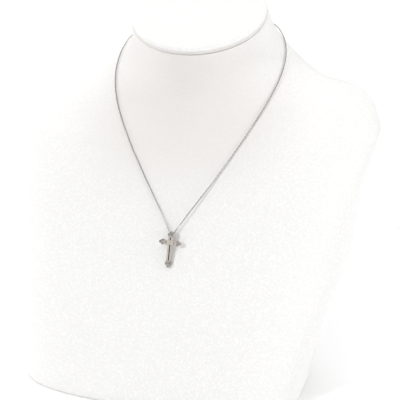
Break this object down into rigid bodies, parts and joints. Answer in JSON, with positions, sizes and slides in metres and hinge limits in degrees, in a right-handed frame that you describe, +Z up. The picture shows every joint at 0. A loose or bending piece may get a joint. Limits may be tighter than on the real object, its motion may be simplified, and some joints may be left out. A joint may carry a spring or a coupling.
{
  "type": "cross pendant necklace on neck bust",
  "caption": "Fine cable chain necklace with a small budded cross pendant set with round stones, resting on a plain white neck bust with a flat foot.",
  "frame": {"origin": "middle of the bust's flat foot, on the surface that it stands on", "axes": "+Z up, -Y the way the bust's chest faces, +X to the right of someone who looks at the chest"},
  "size_m": [0.228, 0.16, 0.2393],
  "materials": {
    "leatherette": "matt white with a fine pebbled grain",
    "silver": "polished silver",
    "stone": "clear, brilliant cut"
  },
  "bodies": {
    "root": {"neck_bust": "leatherette", "neck_cap": "leatherette", "chain": "silver", "clasp": "silver", "cross": "silver", "stone_top_left": "stone", "stone_top_right": "stone", "stone_top_tip": "stone", "stone_right_upper": "stone", "stone_right_lower": "stone", "stone_right_tip": "stone", "stone_foot_left": "stone", "stone_foot_right": "stone", "stone_foot_tip": "stone", "stone_left_upper": "stone", "stone_left_lower": "stone", "stone_left_tip": "stone"}
  },
  "joints": []
}
